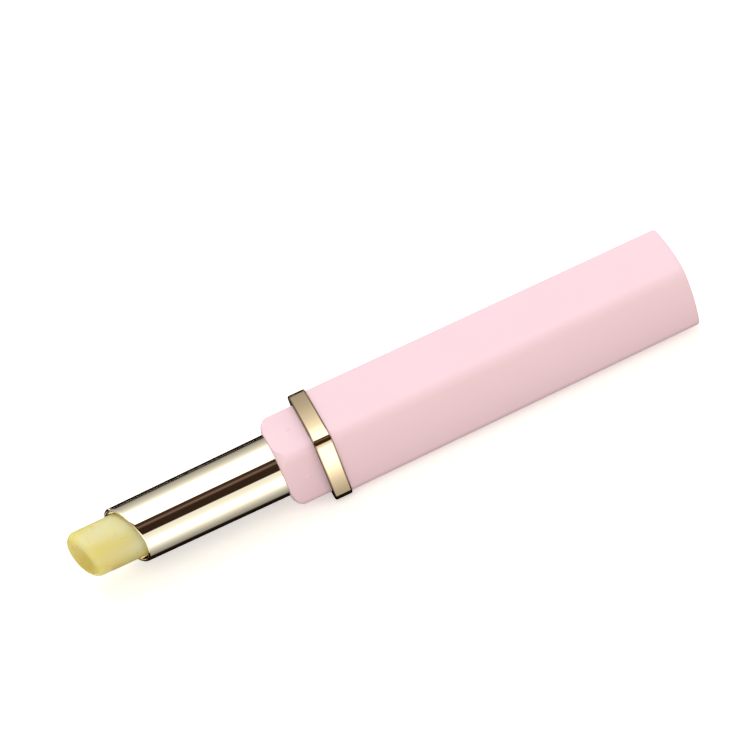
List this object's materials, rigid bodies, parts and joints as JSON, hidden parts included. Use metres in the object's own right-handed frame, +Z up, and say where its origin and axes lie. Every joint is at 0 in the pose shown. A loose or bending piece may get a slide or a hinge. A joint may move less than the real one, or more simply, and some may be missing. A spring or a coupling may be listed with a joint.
{
  "type": "lip balm stick",
  "caption": "Slim square twist-up lip balm stick: pink base and collar, gold trim ring, round gold sleeve and a slanted wax bullet driven by a screw.",
  "frame": {"origin": "on the surface the stick lies on, under the middle of its overall length as pictured", "axes": "the stick lies along X with the bullet towards -X and the closed end of the base towards +X; +Z up; the sleeve turns about the line y = 0, z = 7.0 mm"},
  "size_m": [0.104, 0.014, 0.014],
  "materials": {
    "pink_abs": "satin moulded pink plastic",
    "gold_metallised": "mirror-bright pale gold metallised plastic",
    "balm_wax": "smooth translucent pale yellow wax",
    "white_acetal": "plain moulded natural plastic",
    "silicone": "matt moulded silicone"
  },
  "bodies": {
    "base": {"base_shell": "pink_abs", "trim_ring": "gold_metallised", "collar": "pink_abs", "drive_nut": "white_acetal", "brake_ring": "silicone"},
    "sleeve": {"outer_tube": "gold_metallised", "guide_sleeve": "white_acetal"},
    "carrier": {"balm": "balm_wax", "balm_cup": "white_acetal", "push_rod": "white_acetal", "end_stop": "white_acetal"}
  },
  "joints": [
    {"name": "twist", "type": "hinge", "parent": "base", "child": "sleeve", "pos_m": [-0.01759, 0, 0.007], "axis": [-1, 0, 0], "range_deg": [-360, 720]},
    {"name": "balm_raise", "type": "slide", "parent": "sleeve", "child": "carrier", "axis": [-1, 0, 0], "range_m": [-0.00799, 0.01599]}
  ],
  "couplings": [
    {"joint": "twist", "follows": "balm_raise", "rad_per_m": 785.4}
  ]
}
